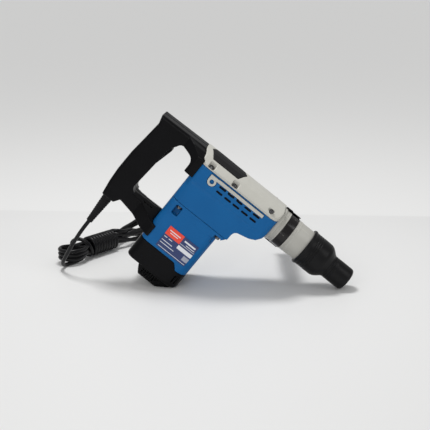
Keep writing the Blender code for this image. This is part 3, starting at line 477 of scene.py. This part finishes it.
# The barrel's hollows are tinted darker than its paint: painted shade in the grooves and steps.
barrel_grey = grained(Finish("barrel_paint", GREY, 0.36, coat=0.12, specular=0.3), (0.46, 0.453, 0.415),
                      (0.41, 0.402, 0.365), BARE, 0.38, grain=0.9, depth=0.02, wear=0.5, dust_and_shade_colour=(0.20, 0.185, 0.16))
around = barrel_grey.noise(1.3, 2.0, (1.0, 0.05, 0.05))
barrel_grey.set("Roughness", around * 0.10 + barrel_grey.gloss - 0.04)
dress(spun("barrel_tube", barrel_section, "machine", machine, "front_barrel", 128), barrel_grey)

# Clamp band: a strip of black enamelled spring steel round the barrel. Its saddle is moulded in black nylon
# and holds the stud of the side handle on the far side.
band_section = [(122.7, 27.9), (122.7, 29.3), (123.6, 29.6), (137.7, 29.6), (138.6, 29.3), (138.6, 27.9)]
enamel = Finish("black_enamel", (0.006, 0.005, 0.005), 0.20, coat=0.1, specular=0.3)
enamel.set("Roughness", enamel.noise(6.0, 4.0).step(0.4, 0.8) * 0.18 + 0.12)
enamel.set("Base Color", (enamel.edges() * enamel.noise(3.0, 3.0).step(0.45, 0.6)).blend(
    (0.006, 0.005, 0.005, 1.0), (0.20, 0.19, 0.18, 1.0)))
dress(spun("band_strip", band_section, "side_handle_body", machine, "clamp_band", 128, 0.2), enamel)
dress(softened("clamp_saddle", "side_handle_body", 0.6), black)

# Side handle: a ribbed rubber grip moulded over a nylon core, screwed on the stud. Turning it clamps the band.
handle_fall = Matrix.Rotation(-math.radians(12.0), 4, "X") @ Matrix.Rotation(math.radians(90.0), 4, "Z")
grip_place = machine @ Matrix.Translation((130.6, 0.0, 0.0)) @ handle_fall
grip_outline = [(47.6, 4.4), (47.6, 13.0), (49.5, 17.0), (53.0, 17.0), (56.0, 14.6)]
for ring in range(12):
    start, radius = 60.0 + 9.4 * ring, 15.0 + 1.5 * math.sin(math.pi * min(1.0, (ring + 1) / 10))
    grip_outline += [(start, radius), (start + 6.6, radius), (start + 7.4, radius - 1.0), (start + 8.6, radius - 1.0)]
grip_outline += [(176.0, 15.0), (182.0, 18.3), (187.0, 18.3), (190.0, 15.0), (190.0, 0.0), (100.0, 0.0), (100.0, 4.4)]
dress(spun("side_grip_rubber", grip_outline, "side_grip_body", grip_place, "side_grip", 64, 0.8), rubber)

# Locking sleeve: a thick rubber boot over the chuck. It is pulled back to free the tool, so it has two
# shallow hand rings and a raised lip, and its front falls in a cone to the dust cap.
x0, x1, sleeve_r = 170.5, 224.0, 31.8
sleeve_section = [(x0, 28.8), (x0, sleeve_r), (x0 + 1.5, sleeve_r + 0.7), (x0 + 4.2, sleeve_r + 0.7),
                  (x0 + 6.2, sleeve_r - 0.5), *grooves((x0 + 12.0, x0 + 16.0, x0 + 20.0), sleeve_r - 0.5, 1.6, 0.7),
                  (x0 + 30.0, sleeve_r - 0.7), (x0 + 37.0, sleeve_r - 0.9), (x0 + 42.0, sleeve_r - 2.6),
                  (x0 + 47.0, 25.6), (x1 - 2.0, 21.7), (x1, 20.9), (x1, 20.0), (208.0, 20.0), (208.0, 16.6),
                  (204.5, 16.6), (204.5, 25.5), (200.0, 28.8)]
boot = grained(Finish("boot_rubber", RUBBER, 0.36, specular=0.16), RUBBER, (0.008, 0.008, 0.009),
               (0.04, 0.04, 0.04), 0.36, grain=0.6, depth=0.09, wear=0.5, dust_and_shade_colour=(0.05, 0.047, 0.043))
dress(spun("sleeve_boot", sleeve_section, "sleeve_body", machine, "locking_sleeve", 128, 1.0), boot)

# Dust cap: a rubber collar snapped on the tool holder, with a rounded mouth that keeps grit out.
cap_section = [(x1 + 0.3, 16.4), (x1 + 0.3, 20.3), *grooves((229.0, 232.4), 20.5, 1.2, 0.5), (240.0, 20.5),
               (257.5, 20.4)]
cap_section += [(257.5 + 6.0 * math.sin(a), 14.4 + 6.0 * math.cos(a)) for a in (0.3, 0.6, 0.9, 1.2, 1.45)]
cap_section += [(263.4, 9.9), (257.5, 9.9), (255.5, 16.4)]
dress(spun("nose_collar", cap_section, "machine", machine, "dust_cap", 96, 0.4), boot)

# Cord guard: a tapering rubber sleeve clamped between the handle halves, ringed so that it bends evenly.
guard_place = machine @ Matrix.Translation((-134.0, 0.0, 0.0)) @ Matrix.Rotation(math.radians(90.0), 4, "Y")
guard_section = [(131.5, 3.8), (131.5, 9.5), (135.7, 9.5), (135.7, 7.1), (144.0, 7.1), (145.0, 9.2)]
for ring in range(11):
    start = 150.0 + 4.5 * ring
    radius = 9.2 - 3.8 * (start - 145.0) / 57.5
    guard_section += [(start, radius), (start + 0.5, radius - 0.7), (start + 1.7, radius - 0.8),
                      (start + 2.2, radius - 0.2)]
guard_section += [(202.5, 5.4), (202.5, 3.8)]
dress(spun("guard_sleeve", guard_section, "machine", guard_place, "cord_guard", 48, 0.3), rubber)
dress(softened("mains_plug", "machine", 0.6), black)

# Rating plate: a thin printed foil on the motor housing, with a red field, a dark blue one and blank bars.
plate = frame["nodes"]["name_plate"]
printed = Finish("printed_foil", (0.002, 0.022, 0.130), 0.30, coat=0.4)
u, v = printed.x, printed.z
ink = (0.78, 0.80, 0.84, 1.0)
field = v.within(-118.4, -100.0, 0.25) * u.within(-25.0, 7.6, 0.25)
print_colour = field.blend((0.002, 0.022, 0.130, 1.0), (0.86, 0.045, 0.012, 1.0))
bars = ((-18.0, 3.5, -109.2, -107.6), (-15.0, 0.5, -112.8, -111.6), (12.0, 34.0, -109.4, -106.6),
        (18.0, 35.0, -113.4, -112.2), (8.0, 38.0, -116.4, -115.7), (8.0, 38.0, -126.3, -119.5),
        (-20.0, -14.0, -122.7, -121.5), (-11.0, -4.0, -122.7, -121.5), (-20.0, 1.0, -129.6, -128.5),
        (-20.0, 8.0, -134.7, -133.6), (-19.0, 36.0, -141.8, -141.0))
marks = u * 0.0
for low_u, high_u, low_v, high_v in bars:
    marks = marks + u.within(low_u, high_u, 0.2) * v.within(low_v, high_v, 0.2)
stamp = u.within(26.0, 37.0, 0.2) * v.within(-137.3, -129.0, 0.2) * 0.45
marks = (marks + stamp) * (printed.noise(0.8, 3.0).step(0.20, 0.34) * 0.25 + 0.75)
printed.set("Base Color", marks.blend(print_colour, ink))
printed.set("Roughness", printed.noise(20.0, 4.0) * 0.16 + 0.22)
plate.data.materials.clear()
plate.data.materials.append(printed.material)

# Mechanism, motor and switch, all inside the housings: ground and blackened steel, cast aluminium,
# laminated iron, copper and carbon, with the marks that turning and grinding leave.
STEEL, IRON = (0.46, 0.46, 0.48), (0.055, 0.056, 0.060)
ground_steel = Finish("ground_steel", STEEL, 0.28, metallic=1.0)
lay = ground_steel.noise(0.35, 3.0, (1.0, 0.08, 0.08))
ground_steel.set("Roughness", lay * 0.22 + 0.18)
ground_steel.set("Base Color", ground_steel.noise(12.0, 4.0).step(0.3, 0.7).blend(
    (*STEEL, 1.0), (0.38, 0.375, 0.38, 1.0)))
ground_steel.raise_by(lay, 0.01)
laminated = Finish("laminated_iron", IRON, 0.42, metallic=1.0)
sheets = laminated.z.maths("SINE", laminated.z * 9.0)
laminated.set("Base Color", sheets.step(-0.4, 0.6).blend((*IRON, 1.0), (0.12, 0.12, 0.125, 1.0)))
laminated.raise_by(sheets, 0.08)
cast = Finish("cast_aluminium", (0.55, 0.56, 0.57), 0.48, metallic=1.0)
sand = cast.noise(1.1, 4.0)
cast.set("Roughness", sand * 0.25 + 0.34)
cast.set("Base Color", cast.noise(18.0, 4.0).step(0.3, 0.7).blend((0.55, 0.56, 0.57, 1.0), (0.44, 0.445, 0.45, 1.0)))
cast.raise_by(sand, 0.08)
bar_copper = Finish("copper_bars", (0.70, 0.30, 0.14), 0.30, metallic=1.0)
wear_track = bar_copper.z.within(-167.0, -156.0, 1.0) * bar_copper.noise(1.0, 3.0, (0.2, 0.2, 2.0))
bar_copper.set("Base Color", wear_track.blend((0.70, 0.30, 0.14, 1.0), (0.22, 0.11, 0.07, 1.0)))
carbon = Finish("carbon_brush", (0.018, 0.018, 0.019), 0.6)
carbon.set("Roughness", carbon.noise(0.6, 3.0) * 0.3 + 0.45)
carbon.raise_by(carbon.noise(0.5, 3.0), 0.05)
inner_finishes = {"ground_steel": ground_steel, "dark_steel": oxide, "cast_aluminium": cast, "copper": bar_copper,
                  "carbon": carbon, "black_plastic": black, "black_rubber": rubber}
slots = {part["node"]: part["material_slot"] for part in frame["record"]["subparts"]}
inner = ("armature_core armature_shaft bearing_bottom bearing_plate bearing_top brush_bridge brush_front brush_rear "
         "clamp_stud commutator con_rod crank_bearing crank_gear crank_shaft crankcase_wall cylinder fan impact_bolt "
         "lock_roller_far lock_roller_near piston stator striker switch_block tool_holder trigger_pin "
         "wrist_pin").split()
for name in inner:
    look = laminated if name in ("armature_core", "stator") else inner_finishes[slots[name]]
    frame["nodes"][name].data.materials.clear()
    frame["nodes"][name].data.materials.append(look.material)


# Sleeve spring: wound from 2.8 mm music wire. It sits between the barrel and the sleeve and closes up as the
# sleeve is pulled back.
coil_tree = bpy.data.node_groups.new("wound_wire", "GeometryNodeTree")
for label, value in (("Turns", 4.0), ("Radius", 22.0), ("Length", 20.0), ("Wire radius", 1.4)):
    coil_tree.interface.new_socket(label, in_out="INPUT", socket_type="NodeSocketFloat").default_value = value
coil_tree.interface.new_socket("Geometry", in_out="OUTPUT", socket_type="NodeSocketGeometry")
coil_start = Wire(coil_tree)
coil_inlet = coil_start.node("NodeGroupInput").socket.node
turns, coil_r, coil_l, wire_r = (Wire(coil_tree, socket) for socket in list(coil_inlet.outputs)[:4])
helix = coil_start.node("GeometryNodeCurveSpiral", {"Resolution": 40, "Rotations": turns, "Start Radius": coil_r,
                                                    "End Radius": coil_r, "Height": coil_l})
wire_ring = coil_start.node("GeometryNodeCurvePrimitiveCircle", {"Resolution": 12, "Radius": wire_r})
swept = coil_start.node("GeometryNodeCurveToMesh", {"Curve": helix, "Profile Curve": wire_ring, "Fill Caps": True})
kept = coil_start.node("GeometryNodeSetMaterial", {"Geometry": swept.node(
    "GeometryNodeRealizeInstances", {"Geometry": swept}), "Material": ground_steel.material})
coil_outlet = coil_tree.nodes.new("NodeGroupOutput")
coil_tree.links.new(kept.socket, coil_outlet.inputs[0])
along_barrel = machine @ Matrix.Translation((181.5, 0.0, 0.0)) @ Matrix.Rotation(math.radians(90.0), 4, "Y")
spring = grown("spring_coil", [(0.0, 0.0, 0.0)], coil_tree, {"Turns": 4.0, "Radius": 22.0, "Length": 20.0,
                                                            "Wire radius": 1.4}, along_barrel)
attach(spring, "machine")
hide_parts("sleeve_spring")
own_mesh(spring)

# Mains cord: one round black rubber sheathed lead of 7 mm. It hangs from its guard to the table, is folded
# into a hank of eight strands behind the tool, and its last metre is wound round the hank nine times.
CORD_D = 7.0
HANK_FROM, HANK_TO = Vector((-288.5, 78.0, 0.0)), Vector((-187.0, 250.0, 0.0))
FOLD_R = 21.0
STRANDS = 8
WRAPS, WRAP_R = 9.5, 16.0
WRAPPED = (62.0, 134.0)
BUNDLE_Z = WRAP_R + CORD_D / 2 + 0.4


def smooth_line(knots, step):
    """Points about a step apart on a smooth curve through the knots, however unevenly they are spaced."""
    gaps = [(b - a).length for a, b in zip(knots, knots[1:])]
    slopes = [(knots[1] - knots[0]) / gaps[0]]
    for a, b, c, before, after in zip(knots, knots[1:], knots[2:], gaps, gaps[1:]):
        slopes.append(((b - a) * after / before + (c - b) * before / after) / (before + after))
    slopes.append((knots[-1] - knots[-2]) / gaps[-1])
    line = []
    for a, b, leave, arrive, gap in zip(knots, knots[1:], slopes, slopes[1:], gaps):
        count = max(1, round(gap / step))
        for t in (i / count for i in range(count)):
            line.append(a * (2 * t ** 3 - 3 * t ** 2 + 1) + leave * gap * (t ** 3 - 2 * t ** 2 + t)
                        + b * (3 * t ** 2 - 2 * t ** 3) + arrive * gap * (t ** 3 - t ** 2))
    return line + [knots[-1]]


hank_run = (HANK_TO - HANK_FROM).normalized()
hank_side = Vector((-hank_run.y, hank_run.x, 0))
hank_tip = HANK_FROM - (FOLD_R + CORD_D / 2) * hank_run
hank_length = (HANK_TO - HANK_FROM).length + 2 * FOLD_R + CORD_D


def in_hank(along, aside, height):
    return hank_tip + along * hank_run + aside * hank_side + Vector((0, 0, height))


strand_places = [(0.0, 0.0)] + [(8.3 * math.cos(math.tau * i / 7 + 0.4), 8.3 * math.sin(math.tau * i / 7 + 0.4))
                                for i in range(7)]
strand_order = [4, 1, 5, 2, 6, 3, 0, 7]
left_heights, right_heights = (11.4, 18.7, 26.0), (4.0, 11.2, 27.0, 34.5)


def fold(near, outward, height, sign):
    """The half turn of a fold at one end: near and outward are distances along the hank."""
    turn = []
    for degrees in (-90, -60, -30, 0, 30, 60, 90):
        angle = math.radians(degrees)
        turn.append(in_hank(near + outward * FOLD_R * math.cos(angle), sign * FOLD_R * math.sin(angle), height))
    return turn


free_run = [(-242.9, 0.2, 86.6), (-255.5, 4, 69), (-269, 11, 49), (-281, 20, 30)]
to_floor = floor_under.inverted() @ machine
knots = [to_floor @ Vector((-134.0, 0, -192.0)), to_floor @ Vector((-134.0, 0, -204.0))]
knots += [Vector(place) for place in free_run]
knots += [in_hank(-17.5, -22.5, 15.0), in_hank(-10.6, -15.5, 8.0), in_hank(0.5, -10.5, 4.2),
          in_hank(13.0, -10.0, 3.9), in_hank(36.0, -13.5, 6.0)]
for strand in range(STRANDS):
    aside, above = strand_places[strand_order[strand]]
    rightward = strand % 2 == 0
    stops = [WRAPPED[0], 86.0, 110.0, WRAPPED[1]]
    for stop in stops if rightward else reversed(stops):
        knots.append(in_hank(stop, aside, BUNDLE_Z + above))
    if strand == STRANDS - 1:
        break
    next_aside = strand_places[strand_order[strand + 1]][0]
    side = 1 if aside > next_aside else -1
    if rightward:
        height, end, outward = right_heights[strand // 2], hank_length - FOLD_R - CORD_D / 2, 1
        leaving, coming = (168.0, side * 13.0), (168.0, -side * 13.0)
    else:
        height, end, outward = left_heights[strand // 2], FOLD_R + CORD_D / 2, -1
        leaving, coming = (50.0, side * 15.5), (50.0, -side * 15.5)
    mid = 0.5 * (height + BUNDLE_Z + above)
    beside = end - outward * (17.0 if rightward else 9.0)
    knots += [in_hank(*leaving, mid), in_hank(beside, side * 20.2, height + 0.25 * (BUNDLE_Z - height))]
    knots += fold(end, outward, height, -side)
    knots += [in_hank(beside, -side * 20.2, height + 0.25 * (BUNDLE_Z - height)),
              in_hank(*coming, 0.5 * (height + BUNDLE_Z))]


def on_wrap(along, radius, degrees):
    """A place round the bundle, counted from where the last strand lies in it."""
    angle = last_strand + math.radians(degrees)
    return in_hank(along, radius * math.cos(angle), BUNDLE_Z + radius * math.sin(angle))


last_strand = math.atan2(strand_places[strand_order[-1]][1], strand_places[strand_order[-1]][0])
knots += [on_wrap(*place) for place in ((53.5, 12.0, 3), (45.5, 17.0, 20), (41.8, 19.8, 50), (43.0, 20.2, 86),
                                        (47.3, 19.2, 122), (52.8, 17.6, 160), (58.8, 16.2, 205))]
for i in range(round(WRAPS * 12) + 1):
    along = WRAPPED[0] + 3.5 + (WRAPPED[1] - WRAPPED[0] - 7.0) * i / (WRAPS * 12)
    knots.append(on_wrap(along, WRAP_R, 260 + 30 * i))
leave = 260 + 360 * WRAPS
knots += [on_wrap(134.5, 15.6, leave + 32), on_wrap(141.5, 15.6, leave + 60), on_wrap(151.0, 15.0, leave + 78)]
plug_start = in_hank(hank_length + 0.3, 0, 17.2)
knots += [in_hank(168.0, -6.0, 30.5), in_hank(187.0, -3.5, 24.5), in_hank(205.0, -1.0, 20.0),
          in_hank(224.0, 0.0, 18.0), plug_start, plug_start + 9 * hank_run]
cord_line = smooth_line(knots, 2.2)
for _ in range(12):  # the lead is too stiff for sharper bends
    cord_line[1:-1] = [0.25 * a + 0.5 * b + 0.25 * c for a, b, c in zip(cord_line, cord_line[1:], cord_line[2:])]
cord_length = sum((b - a).length for a, b in zip(cord_line, cord_line[1:])) / 1000
cord_curve = bpy.data.curves.new("mains_cord", "CURVE")
cord_curve.dimensions, cord_curve.bevel_depth, cord_curve.bevel_resolution = "3D", CORD_D / 2000, 3
cord_curve.use_fill_caps = True
spline = cord_curve.splines.new("POLY")
spline.points.add(len(cord_line) - 1)
for point, place in zip(spline.points, cord_line):
    point.co = (*(floor_under @ place), 1.0)
spline.use_smooth = True
mains_cord = bpy.data.objects.new("mains_cord", cord_curve)
scene.collection.objects.link(mains_cord)
sheath = grained(Finish("rubber_sheath", (0.005, 0.005, 0.006), 0.30, specular=0.2), (0.005, 0.005, 0.006),
                 (0.008, 0.008, 0.009), (0.03, 0.03, 0.03), 0.32, grain=0.5, depth=0.03, wear=0.2,
                 dust_and_shade_colour=(0.05, 0.047, 0.044))
cord_curve.materials.append(sheath.material)
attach(mains_cord, "machine")
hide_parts("cord_tube", "cord_hank")
